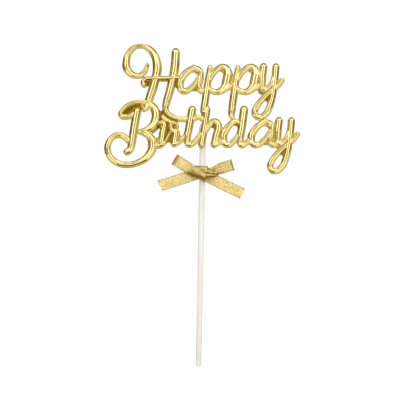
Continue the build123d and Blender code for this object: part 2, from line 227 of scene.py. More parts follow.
# %% [markdown]
# ## Turning strokes into a moulding
# Each stroke of the moulding is a rounded bead on a flat plate. A text object with a bevel could give
# rounded letters, but of one thickness all over. A curve with a round bevel and a radius at every point
# is a tube of changing thickness, which suits a pen stroke. The upper half of the tube is the bead. Its
# lower half is pushed straight down into the plate, as a mould would shape it. The same curve, made
# wider and flattened, is the plate. It is made twice, narrow and high, then wide and thin, because it
# slopes down to its edge. The thin one shows as a narrow flange, and it is moved down a little, so that
# more of it shows below a stroke than above. All sizes here are in millimetres, until the lettering is
# put in its place.

# %% Sizes of the moulding
x_height = 15.5
line_pitch = 33.5
full_bead = 1.7
bead_spread_share = 1.2
bead_sink_share = 0.15
raised_step = 1.7
plate_thickness = 1.8
shoulder_width = 0.55
edge_thickness = 1.65
flange_width = 0.75
flange_drop = 0.45
web_thickness = 1.6
bead_width = 2 * full_bead * bead_spread_share
print("a full bead is", round(bead_width, 1), "mm wide, on a plate", plate_thickness, "mm thick")

# %% Tube along a stroke
bead_rounding = 10
stroke_steps = 10
tube_sides = 4 + 2 * bead_rounding


def stroke_tube(points):
    """Mesh of a round tube along the points, in the XY plane."""
    curve = bpy.data.curves.new("stroke", "CURVE")
    curve.dimensions = "3D"
    curve.twist_mode = "Z_UP"
    curve.bevel_depth = 1
    curve.bevel_resolution = bead_rounding
    curve.resolution_u = stroke_steps
    curve.use_fill_caps = True
    spline = curve.splines.new("BEZIER")
    spline.radius_interpolation = "CARDINAL"
    spline.bezier_points.add(len(points) - 1)
    for knot, (x, y, radius) in zip(spline.bezier_points, points):
        knot.co = (x, y, 0)
        knot.radius = radius
        knot.handle_left_type = "AUTO"
        knot.handle_right_type = "AUTO"
    holder = bpy.data.objects.new("stroke", curve)
    tube = bpy.data.meshes.new_from_object(holder)
    bpy.data.objects.remove(holder)
    bpy.data.curves.remove(curve)
    return tube


print("a stroke's tube has", tube_sides, "sides")

# %% Stroke with round ends
ball_rings = 16


def add_stroke(moulding, points, level):
    """Adds a round-ended tube to the moulding, with its points put at the heights that level gives."""
    part = bmesh.new()
    tube = stroke_tube(points)
    part.from_mesh(tube)
    bpy.data.meshes.remove(tube)
    for x, y, radius in (points[0], points[-1]):
        bmesh.ops.create_uvsphere(part, u_segments=tube_sides, v_segments=ball_rings, radius=radius,
                                  matrix=Matrix.Translation((x, y, 0)))
    for vert in part.verts:
        vert.co.z = level(vert.co.z)
    merged = bpy.data.meshes.new("stroke")
    part.to_mesh(merged)
    part.free()
    moulding.from_mesh(merged)
    bpy.data.meshes.remove(merged)


print("the ball at a stroke's end has", tube_sides * (ball_rings - 1) + 2, "points")

# %% Levels of plate and bead
middle_tolerance = 1e-4


def plate_points(points, width, drop):
    """The points of the plate under a stroke, which is wider than the spread bead and may stand lower."""
    return [(x, y - drop, radius * bead_spread_share + width) for x, y, radius in points]


def plate_level(thickness):
    """Function that puts a plate's points on its back or its front, or halfway at the widest ring."""

    def level(z):
        if abs(z) < middle_tolerance:
            return thickness / 2
        return thickness if z > 0 else 0

    return level


def bead_level(lift, spread_share):
    """Function that flattens the upper half of a spread bead and pushes its lower half into the plate."""
    floor_level = plate_thickness - bead_sink_share * full_bead + lift

    def level(z):
        return floor_level + z / spread_share if z > -middle_tolerance else plate_thickness / 2

    return level


print("a full bead's crown stands", round(bead_level(0, bead_spread_share)(bead_width / 2), 2), "mm high")

# %% Strokes and webs of the moulding
def stroke_points(point_shares, place_share, baseline):
    """Points of a stroke in flat millimetres, each with its bead's radius."""
    return [((place_share + across) * x_height, baseline + up * x_height, weight * full_bead)
            for across, up, weight in point_shares]


def add_web(moulding, corners):
    """Adds the closed gap between the corners to the moulding, from the back up to a web's front."""
    back = moulding.faces.new([moulding.verts.new(corner) for corner in corners])
    web = bmesh.ops.extrude_face_region(moulding, geom=[back])
    front = [item for item in web["geom"] if isinstance(item, bmesh.types.BMVert)]
    bmesh.ops.translate(moulding, verts=front, vec=(0, 0, web_thickness))


def add_beaded_stroke(moulding, points, raised):
    """Adds a whole stroke to the moulding: the high plate, the thin plate and the bead."""
    add_stroke(moulding, plate_points(points, shoulder_width, 0), plate_level(plate_thickness))
    add_stroke(moulding, plate_points(points, flange_width, flange_drop), plate_level(edge_thickness))
    spread_share, lift = (1, raised_step) if raised else (bead_spread_share, 0)
    bead_points = [(x, y, radius * spread_share) for x, y, radius in points]
    add_stroke(moulding, bead_points, bead_level(lift, spread_share))


moulding = bmesh.new()
deep_webs = bmesh.new()
for letters, baseline in [(UPPER_LINE_SHARES, line_pitch), (LOWER_LINE_SHARES, 0)]:
    for letter_shares, place_share in letters:
        for kind, point_shares in letter_shares:
            if kind in ("flat", "raised"):
                points = stroke_points(point_shares, place_share, baseline)
                add_beaded_stroke(moulding, points, kind == "raised")
                continue
            corners = [((place_share + across) * x_height, baseline + up * x_height, 0)
                       for across, up in point_shares]
            add_web(moulding, corners)
            if kind == "web":
                deep_webs.faces.new([deep_webs.verts.new(corner) for corner in corners])
bmesh.ops.recalc_face_normals(moulding, faces=moulding.faces)
print("moulding:", len(moulding.faces), "faces in shapes that overlap")

# %% [markdown]
# ## One skin for the moulding
# The strokes cross and run into each other, and on the real moulding they are one skin. Boolean unions
# could join them, but well over a hundred rounded shapes are slow to join and easily fail. A voxel
# remesh melts closed shapes that overlap into a single one, and rounds the corners a little, which
# suits plated plastic. A short smoothing then takes out the voxels' steps. Most of the small faces lie
# on the flat back, where they show nothing, so a decimation that keeps the shape takes them out.

# %% One skin
voxel_size = 0.26
smoothing_rounds = 6
kept_faces_share = 0.45


def piece_from(shape, name):
    """Object at the origin that holds a finished bmesh."""
    mesh = bpy.data.meshes.new(name)
    shape.to_mesh(mesh)
    shape.free()
    piece = bpy.data.objects.new(name, mesh)
    bpy.context.scene.collection.objects.link(piece)
    return piece


def bake_modifiers(piece):
    """Makes the shape that the modifiers give the piece's own mesh, and removes them."""
    shaped = piece.evaluated_get(bpy.context.evaluated_depsgraph_get())
    mesh = bpy.data.meshes.new_from_object(shaped)
    piece.modifiers.clear()
    piece.data = mesh


lettering = piece_from(moulding, "gold_lettering")
remesh = lettering.modifiers.new("one skin", "REMESH")
remesh.mode = "VOXEL"
remesh.voxel_size = voxel_size
smooth = lettering.modifiers.new("no steps", "SMOOTH")
smooth.iterations = smoothing_rounds
thinning = lettering.modifiers.new("plain back", "DECIMATE")
thinning.ratio = kept_faces_share
bake_modifiers(lettering)
lettering.data.calc_loop_triangles()
print("lettering:", len(lettering.data.loop_triangles), "triangles")

# %% [markdown]
# ## Painted recess shade
# The floors of the deep gaps are painted brown, as the shade that falls between the beads. They could
# have a material of their own, but then they would end in a sharp line. Instead every point of the mesh
# gets a number, 1 on such a floor and 0 elsewhere, with a soft change between. The finish reads it as
# an attribute.

# %% Painted recess shade
recess_shade_name = "painted_recess_shade"
recess_blur = 0.5


def ease(value, start, end):
    """Smooth step from 0 at start to 1 at end."""
    share = min(max((value - start) / (end - start), 0), 1)
    return share * share * (3 - 2 * share)


deep_floors = BVHTree.FromBMesh(deep_webs)
deep_webs.free()
painted_recess_shade = lettering.data.attributes.new(recess_shade_name, "FLOAT", "POINT")
for vert, mark in zip(lettering.data.vertices, painted_recess_shade.data):
    distance = deep_floors.find_nearest((vert.co.x, vert.co.y, 0))[3]
    below_beads = 1 - ease(vert.co.z, plate_thickness, plate_thickness + recess_blur)
    on_front = ease(vert.co.z, web_thickness - 2 * recess_blur, web_thickness - recess_blur)
    mark.value = below_beads * on_front * (1 - ease(distance, 0, recess_blur))
print("recessed points:", sum(mark.value == 1 for mark in painted_recess_shade.data), "of", len(painted_recess_shade.data))

# %% [markdown]
# ## Lettering in its place
# So far the lettering lies flat and in millimetres, which keeps its numbers easy to read. It could be
# stood up by turning the object, but a piece stays at the origin unturned, so one matrix moves the mesh
# itself. The words are level in the picture, so they are turned by the lean of the stick.

# %% Lettering in its place
stick_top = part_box("stick")[1].z
plate_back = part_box("lettering")[1].y
baseline_below_stick_top = 12.55 * mm
lettering_offset = 0.4 * mm
upright = Matrix((
    (cos(stick_lean), -sin(stick_lean), 0, lettering_offset),
    (0, 0, -1, plate_back),
    (sin(stick_lean), cos(stick_lean), 0, stick_top - baseline_below_stick_top),
    (0, 0, 0, 1),
))
lettering.data.transform(upright @ Matrix.Scale(mm, 4))
lettering.data.shade_smooth()
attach(lettering, "topper")
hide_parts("lettering")
print("lower line stands", round(upright.translation.z / mm, 1), "mm above the cake")

# %% [markdown]
# ## Stick
# The stick is a slim plastic rod with a slight draft and a rounded tip. A cylinder could be stretched
# to its length, but then the draft and the tip would have to be cut. A lathe gives both at once: the
# points of half the outline are spun round the axis, with an arc of points for the tip. Its length and
# its upper thickness are read from the frame.

# %% Stick
stick_low, stick_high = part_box("stick")
pin_radius = 1.85 * mm
top_radius = stick_high.x
tip_round = 1.5 * mm
tip_steps = 6
lathe_steps = 48
merge_distance = 0.001 * mm
lathe = bmesh.new()
outline = [(0, stick_low.z)]
for step in range(tip_steps + 1):
    angle = step / tip_steps * pi / 2
    arc_height = stick_low.z + tip_round * (1 - cos(angle))
    outline.append((pin_radius - tip_round + tip_round * sin(angle), arc_height))
outline += [(pin_radius, 0), (top_radius, stick_high.z), (0, stick_high.z)]
profile = [lathe.verts.new((radius, 0, height)) for radius, height in outline]
edges = [lathe.edges.new(pair) for pair in zip(profile, profile[1:])]
bmesh.ops.spin(lathe, geom=profile + edges, cent=(0, 0, 0), axis=(0, 0, 1), angle=tau, steps=lathe_steps,
               use_merge=True)
bmesh.ops.remove_doubles(lathe, verts=lathe.verts, dist=merge_distance)
bmesh.ops.recalc_face_normals(lathe, faces=lathe.faces)
stick = piece_from(lathe, "cream_stick")
stick.data.shade_smooth()
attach(stick, "topper")
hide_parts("stick")
print("stick:", round((stick_high.z - stick_low.z) / mm, 1), "mm long")

# %% [markdown]
# ## Glue
# Behind the words a dab of hot-melt glue sits over the end of the stick. It could be sculpted, but it
# is a plain soft blob out of sight, so a ball is stretched to the size of its solid. An icosphere has
# even faces all over.

# %% Glue
glue_low, glue_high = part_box("glue_dab")
ball_subdivisions = 4
blob = bmesh.new()
bmesh.ops.create_icosphere(blob, subdivisions=ball_subdivisions, radius=1)
bmesh.ops.scale(blob, verts=blob.verts, vec=(glue_high - glue_low) / 2)
bmesh.ops.translate(blob, verts=blob.verts, vec=(glue_low + glue_high) / 2)
glue = piece_from(blob, "glue_dab_soft")
glue.data.shade_smooth()
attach(glue, "topper")
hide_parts("glue_dab")
print("glue:", [round(side / mm, 1) for side in glue_high - glue_low], "mm")

# %% [markdown]
# ## Ribbon
# The ribbon is a narrow woven strip, stiff for its size. A cloth simulation could drape it, but its
# folds are pressed in by hand and hardly sag, so they are given by formulas. Every part of the bow
# starts as a flat grid. A function then says where each point of the grid goes, from its distance along
# the strip and across it, and how much painted shade it gets. The two distances are kept as the UV map,
# in millimetres, so that the weave has one scale on all the pieces. The painted shade is kept as an
# attribute: it darkens the folds, the creases and the parts in the knot's shadow, where shade falls.
# The woven edges are drawn darker too, and finely toothed.

# %% Strip of ribbon
ribbon_width = 7.0
ribbon_thickness = 0.3
grid_step = 0.3
tooth_depth = 0.1
tooth_pitch = 0.9
selvedge_shade = 0.45
flat_name = "flat"
painted_shade_name = "painted_shade"
band_low, band_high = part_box("bow_band")
bow_height = (band_low.z + band_high.z) / 2 / mm
ribbons = []


def ribbon_piece(name, length, width, place, body, *nodes):
    """Strip of ribbon whose points are moved by place(along, across), both in millimetres."""
    strip = bmesh.new()
    columns = round(length / grid_step)
    rows = round(width / grid_step)
    bmesh.ops.create_grid(strip, x_segments=columns, y_segments=rows, size=0.5)
    flat_map = strip.loops.layers.uv.new(flat_name)
    painted_shade_layer = strip.verts.layers.float.new(painted_shade_name)
    for face in strip.faces:
        for loop in face.loops:
            loop[flat_map].uv = ((loop.vert.co.x + 0.5) * length, loop.vert.co.y * width)
    for vert in strip.verts:
        along = (vert.co.x + 0.5) * length
        across = vert.co.y * width
        at_edge = ease(abs(across), width / 2 - grid_step, width / 2)
        tooth = tooth_depth * sin(along / tooth_pitch * tau) * at_edge
        across += tooth if across > 0 else -tooth
        x, depth, z, painted_shade = place(along, across)
        vert.co = (x * mm, depth * mm, (bow_height + z) * mm)
        # The woven edges are drawn darker, in the same layer as the painted shade.
        selvedge = selvedge_shade * ease(abs(across), width / 2 - 2 * grid_step, width / 2 - grid_step)
        vert[painted_shade_layer] = min(max(painted_shade, selvedge), 1)
    bmesh.ops.recalc_face_normals(strip, faces=strip.faces)
    piece = piece_from(strip, name)
    wall = piece.modifiers.new("cloth thickness", "SOLIDIFY")
    wall.thickness = ribbon_thickness * mm
    wall.offset = 0
    piece.data.shade_smooth()
    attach(piece, body)
    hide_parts(*nodes)
    ribbons.append(piece)
    print(name, round(length, 1), "x", round(width, 1), "mm of ribbon")


print("bow tied", round(bow_height, 1), "mm above the cake")

# %% [markdown]
# ## Loops
# A loop of the bow runs out along the back, round a tight fold and in again along the front. Near the
# knot it is drawn in and puckers. It could be a strip bent by a curve modifier, but a curve can't
# gather the strip, so the function below works out the fold, the gathers and their painted shade, with
# a painted shadow near the knot and along the lower edge. The two loops were pulled differently, so
# each has values of its own.

# %% Loops
loop_depth = -4.4
fold_radius = 1.5
fold_shade = 0.78
fold_core_share = 1 / 3
gather_length = 9.0
gather_depth = 0.4
gather_shade = 0.15
gathers = 2
gather_phase = 1
root_closing_share = 0.6
knot_shadow = 0.3
knot_shadow_start, knot_shadow_end = 3, 12
lower_edge_shade = 0.8
lower_edge_start, lower_edge_end = 1.8, 3.3


def inward_from(end, angle, inward, across):
    """Place in the bow's plane of a point that lies inward from a strip's end and across from its middle."""
    x = end[0] - inward * cos(angle) - across * sin(angle)
    z = end[1] - inward * sin(angle) + across * cos(angle)
    return x, z


def loop_place(end, angle, run, upper_root_share, lower_root_share, fold_band, shade):
    """Function that lays a strip out along the back, round the fold and in again along the front."""
    upper_side = -1 if cos(angle) < 0 else 1

    def place(along, across):
        if along < run:
            inward, side = run - along + fold_radius, 1
        elif along > run + pi * fold_radius:
            inward, side = along - run - pi * fold_radius + fold_radius, -1
        else:
            turn = (along - run) / fold_radius
            inward, side = fold_radius * (1 - sin(turn)), cos(turn)
        out = run + fold_radius - inward
        drawn_in = 1 - ease(out, 0, gather_length)
        root_share = upper_root_share if across * upper_side > 0 else lower_root_share
        x, z = inward_from(end, angle, inward, across * (1 - (1 - root_share) * drawn_in))
        opening = fold_radius * (1 - root_closing_share * (1 - ease(out, 0, run)))
        wave = cos(across / ribbon_width * tau * gathers + gather_phase)
        in_fold = fold_shade * (1 - ease(inward, fold_core_share * fold_band, fold_band))
        lower_edge = lower_edge_shade * ease(-across * upper_side, lower_edge_start, lower_edge_end)
        near_knot = 1 - ease(out, knot_shadow_start, knot_shadow_end)
        # Painted shade: the fold, the knot's shadow near the root, the gathers and the lower edge are
        # darkened in the colour.
        painted_shade = in_fold + near_knot * (knot_shadow - gather_shade * wave + lower_edge) + shade
        return x, loop_depth + side * opening + gather_depth * drawn_in * wave, z, painted_shade

    return place, 2 * run + pi * fold_radius


left_loop, left_length = loop_place(end=(-17.4, 8.2), angle=radians(150), run=14.5, upper_root_share=0.82,
                                    lower_root_share=0.9, fold_band=3.0, shade=0.0)
right_loop, right_length = loop_place(end=(18.7, 5.5), angle=radians(18), run=13.9, upper_root_share=0.55,
                                      lower_root_share=0.6, fold_band=1.3, shade=0.16)
ribbon_piece("ribbon_left_loop", left_length, ribbon_width, left_loop, "bow", "bow_left_loop")
ribbon_piece("ribbon_right_loop", right_length, ribbon_width, right_loop, "bow", "bow_right_loop")

# %% [markdown]
# ## Tails
# The tails are the two cut ends of the ribbon, which lie flat behind the loops. A flat strip would look
# like card, so each one has a slight wave along it and a slight cup across it. One end is cut at a
# slant.

# %% Tails
tail_length = 25.0
tail_depth = -2.65
tail_wave_run = 9
tail_cup = 0.012
tail_shade = 0.5
tail_shade_start, tail_shade_end = 2, 9


def tail_place(end, angle, wave, slant):
    """Function that lays a strip out flat from behind the knot, with a slight wave and cup."""

    def place(along, across):
        cut_back = slant * (0.5 + across / ribbon_width)
        x, z = inward_from(end, angle, tail_length - along + cut_back, across)
        depth = tail_depth - wave * sin(along / tail_wave_run) - tail_cup * across * across
        # Painted shadow of the knot on the part of the tail next to it.
        return x, depth, z, tail_shade * (1 - ease(along, tail_shade_start, tail_shade_end))

    return place


left_tail = tail_place(end=(-26.9, -8.6), angle=radians(198.7), wave=0.5, slant=1.6)
right_tail = tail_place(end=(25.2, -12.2), angle=radians(-24.5), wave=-0.35, slant=0.0)
ribbon_piece("ribbon_left_tail", tail_length, ribbon_width, left_tail, "bow", "bow_left_tail")
ribbon_piece("ribbon_right_tail", tail_length, ribbon_width, right_tail, "bow", "bow_right_tail")

# %% [markdown]
# ## Knot
# The middle of the bow is two folds of the same ribbon: one goes over the stick, and the other is drawn
# through under it to the right. The true path of a tied ribbon could be followed, but most of it is out
# of sight. So each fold is a strip wrapped round once, and its front is spread between four corners,
# because a pulled knot is never square. Pleats run from side to side and end in painted dark shade
# along the lower edge. The whole knot, its pleat valleys and its edges get painted shade too.

# %% Knot
knot_length = 12.0
knot_shade = 0.34
end_pinch_share = 0.45
end_pinch_power = 3
pleat_skew = 0.9
pleat_depth_share = 0.7
lower_crease_start, lower_crease_end = 0.10, 0.36
upper_crease_start, upper_crease_end = 0.80, 0.96
upper_crease_share = 0.45


def wrap_place(corners, wrap, depth, thickness, pleats, pleat_shade, edge_shade):
    """Function that wraps a strip round once. The corners of its front run clockwise from the upper left."""
    upper_left, upper_right, lower_right, lower_left = (Vector(corner) for corner in corners)

    def place(along, across):
        turn = along / wrap * tau
        share = across / knot_length + 0.5
        up = sin(turn) / 2 + 0.5
        upper, lower = upper_left.lerp(upper_right, share), lower_left.lerp(lower_right, share)
        place_on = upper.lerp(lower, 1 - up)
        pinch = 1 - end_pinch_share * abs(2 * share - 1) ** end_pinch_power
        front = max(cos(turn), 0) ** 0.5
        ridge = sin(tau * (pleats * up + pleat_skew * share))
        pleat_height = pleat_depth_share * pleat_shade * ridge * front
        lower_crease = 1 - ease(up, lower_crease_start, lower_crease_end)
        upper_crease = upper_crease_share * ease(up, upper_crease_start, upper_crease_end)
        # Painted shade: the whole knot, its pleat valleys and its lower and upper edges are darkened in the
        # colour.
        painted_shade = front * pleat_shade * (1 - ridge) + edge_shade * (lower_crease + upper_crease) + knot_shade
        return place_on.x, depth - thickness / 2 * pinch * cos(turn) - pleat_height, place_on.y, painted_shade

    return place


over_wrap, under_wrap = 19.0, 16.0
over_fold = wrap_place([(-5.0, 4.5), (3.4, 4.2), (1.6, -4.5), (-9.8, -0.2)], wrap=over_wrap, depth=-4.5,
                       thickness=3.1, pleats=1.7, pleat_shade=0.17, edge_shade=0.85)
under_fold = wrap_place([(1.8, 3.9), (10.4, 1.3), (10.0, -1.4), (0.4, -4.3)], wrap=under_wrap, depth=-4.2,
                        thickness=2.4, pleats=2.8, pleat_shade=0.40, edge_shade=0.5)
ribbon_piece("ribbon_knot", over_wrap, knot_length, over_fold, "bow", "bow_knot")
ribbon_piece("ribbon_knot_under", under_wrap, knot_length, under_fold, "bow", "bow_knot")

# %% [markdown]
# ## Turns round the stick
# Two turns of ribbon hold the bow to the stick. The inner one slides on the stick, and the outer one
# belongs to the knot and turns on the inner one. They could be plain tubes, but as strips they keep the
# weave.

# %% Turns round the stick
def turn_place(radius):
    """Function that winds a strip once round the stick."""

    def place(along, across):
        turn = along / radius
        return radius * sin(turn), radius * cos(turn), across, 0

    return place


for name, radius, height, body, node in [
    ("ribbon_inner_turn", 2.2, 6.2, "band", "bow_band"),
    ("ribbon_outer_turn", 2.75, 5.4, "bow", "bow_knot"),
]:
    ribbon_piece(name, tau * radius, height, turn_place(radius), body, node)

# %% [markdown]
# ## Finishes
# No surface is perfectly even: plating, plastic and glue all vary a little in colour, gloss and level.
# Each material could have noise textures of its own, but the effect is the same, so it is a node group
# that is built once. It puts out a mask and a height, and each material gives it a scale.

# %% Shared mottling
def node_at(tree, kind, **inputs):
    """New node with values on its named inputs."""
    node = tree.nodes.new(kind)
    for socket, value in inputs.items():
        node.inputs[socket.replace("_", " ")].default_value = value
    return node


mottling = bpy.data.node_groups.new("mottling", "ShaderNodeTree")
mottling.interface.new_socket("Vector", in_out="INPUT", socket_type="NodeSocketVector")
mottling.interface.new_socket("Scale", in_out="INPUT", socket_type="NodeSocketFloat")
mottling.interface.new_socket("Mask", in_out="OUTPUT", socket_type="NodeSocketFloat")
mottling.interface.new_socket("Height", in_out="OUTPUT", socket_type="NodeSocketFloat")
group_in = mottling.nodes.new("NodeGroupInput")
group_out = mottling.nodes.new("NodeGroupOutput")
speckle = node_at(mottling, "ShaderNodeTexNoise", Detail=3.0, Roughness=0.55)
swell = node_at(mottling, "ShaderNodeTexNoise", Detail=0.0)
spread = node_at(mottling, "ShaderNodeMapRange", From_Min=0.3, From_Max=0.7)
for noise in (speckle, swell):
    mottling.links.new(group_in.outputs["Vector"], noise.inputs["Vector"])
    mottling.links.new(group_in.outputs["Scale"], noise.inputs["Scale"])
mottling.links.new(speckle.outputs["Fac"], spread.inputs["Value"])
mottling.links.new(spread.outputs["Result"], group_out.inputs["Mask"])
mottling.links.new(swell.outputs["Fac"], group_out.inputs["Height"])
print("the group", mottling.name, "has", len(mottling.nodes), "nodes")

# %% [markdown]
# ## Plain finishes
# Each finish is one Principled shader with a few nodes before it. The nodes could be wired one by one
# for every material, but all of them start alike: with a new material, and most of them with the
# mottling on the gloss and the level. So each of these steps is a short function.

# %% Plain finishes
def new_finish(name, metallic=0.0, coat=0.0):
    """Material with a plain Principled shader, its node tree and that shader."""
    material = bpy.data.materials.new(name)
    material.use_nodes = True
    shader = material.node_tree.nodes["Principled BSDF"]
    shader.inputs["Metallic"].default_value = metallic
    shader.inputs["Coat Weight"].default_value = coat
    return material, material.node_tree, shader


def add_mottling(tree, shader, scale, gloss, level):
    """Sets roughness and bumps by the shared mottling. Gives its mask and the Object coordinates."""
    place = tree.nodes.new("ShaderNodeTexCoord").outputs["Object"]
    group = tree.nodes.new("ShaderNodeGroup")
    group.node_tree = mottling
    group.inputs["Scale"].default_value = scale
    tree.links.new(place, group.inputs["Vector"])
    dull = node_at(tree, "ShaderNodeMapRange", To_Min=gloss[0], To_Max=gloss[1])
    tree.links.new(group.outputs["Mask"], dull.inputs["Value"])
    tree.links.new(dull.outputs["Result"], shader.inputs["Roughness"])
    bump = node_at(tree, "ShaderNodeBump", Distance=level)
    tree.links.new(group.outputs["Height"], bump.inputs["Height"])
    tree.links.new(bump.outputs["Normal"], shader.inputs["Normal"])
    return group.outputs["Mask"], place


print("materials so far:", len(bpy.data.materials))

# %% [markdown]
# ## Gold
# The gold's colour has painted shade in it: it is bright on the fronts of the beads and brownish lower
# down, in the hollows and on the recess floors, where shade falls. The dark lines could be painted on,
# but then all the strokes would have to be unwrapped. Instead the painted shade follows three things that
# the surface tells by itself: how far forward a point lies, how hollow the surface is there, which is the
# Pointiness of the Geometry node, and the marks of the recesses. The rim of the flange is painted darker,
# as shade, and it is duller than the beads.

# %% Gold by depth
def colour_ramp(tree, factor, stops):
    """Colour socket of a ramp along a factor, with stops that are positions and colours in rising order."""
    ramp = tree.nodes.new("ShaderNodeValToRGB")
    elements = ramp.color_ramp.elements
    first, *between, last = stops
    elements[1].position = last[0]
    elements[1].color = (*last[1], 1)
    elements[0].position = first[0]
    elements[0].color = (*first[1], 1)
    for position, colour in between:
        elements.new(position).color = (*colour, 1)
    tree.links.new(factor, ramp.inputs["Fac"])
    return ramp.outputs["Color"]


# Gold by depth, with painted shade: the beads' fronts keep the gold, and the walls and the flange's rim
# lower down are painted darker.
GOLD_AND_DEPTH_SHADE_COLOURS = [
    (0.0, (0.68, 0.57, 0.22)), (0.12, (0.62, 0.52, 0.20)), (0.32, (0.36, 0.28, 0.07)),
    (0.44, (0.36, 0.28, 0.07)), (0.51, (0.47, 0.38, 0.115)), (0.58, (0.47, 0.38, 0.115)),
    (0.65, (0.75, 0.62, 0.26)), (0.85, (0.86, 0.73, 0.39)),
]
gold, gold_tree, gold_shader = new_finish("gold_plating", metallic=1.0, coat=0.1)
gold_shader.inputs["Coat Roughness"].default_value = 0.12
gold_mask, gold_place = add_mottling(gold_tree, gold_shader, scale=160, gloss=(0.08, 0.13), level=0.08 * mm)
front_of_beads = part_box("lettering")[0].y
depth = gold_tree.nodes.new("ShaderNodeSeparateXYZ")
gold_tree.links.new(gold_place, depth.inputs["Vector"])
forward = node_at(gold_tree, "ShaderNodeMapRange", From_Min=plate_back, From_Max=front_of_beads)
gold_tree.links.new(depth.outputs["Y"], forward.inputs["Value"])
shaded_gold_colour = colour_ramp(gold_tree, forward.outputs["Result"], GOLD_AND_DEPTH_SHADE_COLOURS)
print("gold between", round(plate_back / mm, 2), "and", round(front_of_beads / mm, 2), "mm deep")

# %% Painted shade in hollows and recesses
def mixed(tree, first, second, factor, blend="MIX"):
    """Colour socket of a mix. The colours and the factor may each be a socket or a written value."""
    mix = tree.nodes.new("ShaderNodeMix")
    mix.data_type = "RGBA"
    mix.blend_type = blend
    for name, value in (("A", first), ("B", second), ("Factor", factor)):
        if isinstance(value, bpy.types.NodeSocket):
            tree.links.new(value, mix.inputs[name])
        else:
            mix.inputs[name].default_value = (*value, 1) if isinstance(value, tuple) else value
    return mix.outputs["Result"]


# Painted shade: the hollows that Pointiness finds and the recess floors are darkened towards brown.
flat_pointiness, hollow_pointiness = 0.485, 0.43
hollow_shade_colour = (0.24, 0.17, 0.02)
recess_shade_colour = (0.25, 0.15, 0.015)
geometry = gold_tree.nodes.new("ShaderNodeNewGeometry")
hollow = node_at(gold_tree, "ShaderNodeMapRange", From_Min=flat_pointiness, From_Max=hollow_pointiness)
gold_tree.links.new(geometry.outputs["Pointiness"], hollow.inputs["Value"])
recess_shade = gold_tree.nodes.new("ShaderNodeAttribute")
recess_shade.attribute_name = recess_shade_name
shaded_gold_colour = mixed(gold_tree, shaded_gold_colour, hollow_shade_colour, hollow.outputs["Result"])
shaded_gold_colour = mixed(gold_tree, shaded_gold_colour, recess_shade_colour, recess_shade.outputs["Fac"])
warmth = mixed(gold_tree, (1.0, 0.96, 0.90), (1.0, 1.0, 1.0), gold_mask)
shaded_gold_colour = mixed(gold_tree, shaded_gold_colour, warmth, 1, "MULTIPLY")
gold_tree.links.new(shaded_gold_colour, gold_shader.inputs["Base Color"])
print("gold is darkened by the attribute", recess_shade.attribute_name)

# %% Dull flange
bead_share, flange_share = 0.62, 0.48
flange_dullness = 0.16
even_gloss = gold_shader.inputs["Roughness"].links[0].from_socket
on_flange = node_at(gold_tree, "ShaderNodeMapRange", From_Min=bead_share, From_Max=flange_share,
                    To_Max=flange_dullness)
gold_tree.links.new(forward.outputs["Result"], on_flange.inputs["Value"])
dullness = gold_tree.nodes.new("ShaderNodeMath")
dullness.operation = "ADD"
gold_tree.links.new(even_gloss, dullness.inputs[0])
gold_tree.links.new(on_flange.outputs["Result"], dullness.inputs[1])
gold_tree.links.new(dullness.outputs["Value"], gold_shader.inputs["Roughness"])
lettering.data.materials.append(gold)
print("gold has", len(gold_tree.nodes), "nodes")

# %% [markdown]
# ## Cream plastic and glue
# The stick is plain cream plastic, and the glue is amber and glossier. Neither has a pattern, so both
# are made alike: two near colours that the mottling mixes. One loop over a row of values to a material
# is shorter than two cells that differ in numbers alone.

# %% Cream plastic and glue
for piece, name, coat, scale, gloss, level, colours in [
    (stick, "stick_plastic", 0.1, 180, (0.42, 0.55), 0.02 * mm, [(0.88, 0.84, 0.72), (0.93, 0.90, 0.81)]),
    (glue, "hot_glue", 0.2, 300, (0.25, 0.40), 0.10 * mm, [(0.70, 0.62, 0.42), (0.80, 0.73, 0.55)]),
]:
    material, tree, shader = new_finish(name, coat=coat)
    mask, _ = add_mottling(tree, shader, scale, gloss, level)
    tree.links.new(mixed(tree, colours[0], colours[1], mask), shader.inputs["Base Color"])
    piece.data.materials.append(material)
    print(name, "has a roughness from", gloss[0], "to", gloss[1])

# %% [markdown]
# ## Metallic ribbon
# Seen close, the ribbon is a fine weave of flat metallic thread, and every crossing of threads catches
# the light at its own angle. Real threads could be modelled, but they are finer than a pixel. A Voronoi
# pattern with a colour to each cell gives those glints: partly the thread's own uneven tone, partly
# painted highlights in the colour. The painted shade attribute darkens the folds, the knot's shadow
# and the selvedges, which are thin darker lines along both edges.

# %% Ribbon finish
THREAD_AND_GLINT_COLOURS = [(0.0, (0.44, 0.30, 0.07)), (0.4, (0.84, 0.66, 0.26)), (1.0, (1.0, 0.87, 0.50))]
crease_shade_colour = (0.26, 0.155, 0.013)
cells_per_mm = 1.7
lame, lame_tree, lame_shader = new_finish("gold_ribbon", metallic=0.55)
lame_shader.inputs["Roughness"].default_value = 0.36
lame_shader.inputs["Specular IOR Level"].default_value = 0.25
flat = lame_tree.nodes.new("ShaderNodeUVMap")
flat.uv_map = flat_name
glints = node_at(lame_tree, "ShaderNodeTexVoronoi", Scale=cells_per_mm)
lame_tree.links.new(flat.outputs["UV"], glints.inputs["Vector"])
thread_and_glint_colour = colour_ramp(lame_tree, glints.outputs["Color"], THREAD_AND_GLINT_COLOURS)
crease_shade = lame_tree.nodes.new("ShaderNodeAttribute")
crease_shade.attribute_name = painted_shade_name
shaded_ribbon_colour = mixed(lame_tree, thread_and_glint_colour, crease_shade_colour, crease_shade.outputs["Fac"])
lame_tree.links.new(shaded_ribbon_colour, lame_shader.inputs["Base Color"])
grain = node_at(lame_tree, "ShaderNodeBump", Distance=0.08 * mm)
lame_tree.links.new(glints.outputs["Color"], grain.inputs["Height"])
lame_tree.links.new(grain.outputs["Normal"], lame_shader.inputs["Normal"])
for piece in ribbons:
    piece.data.materials.append(lame)
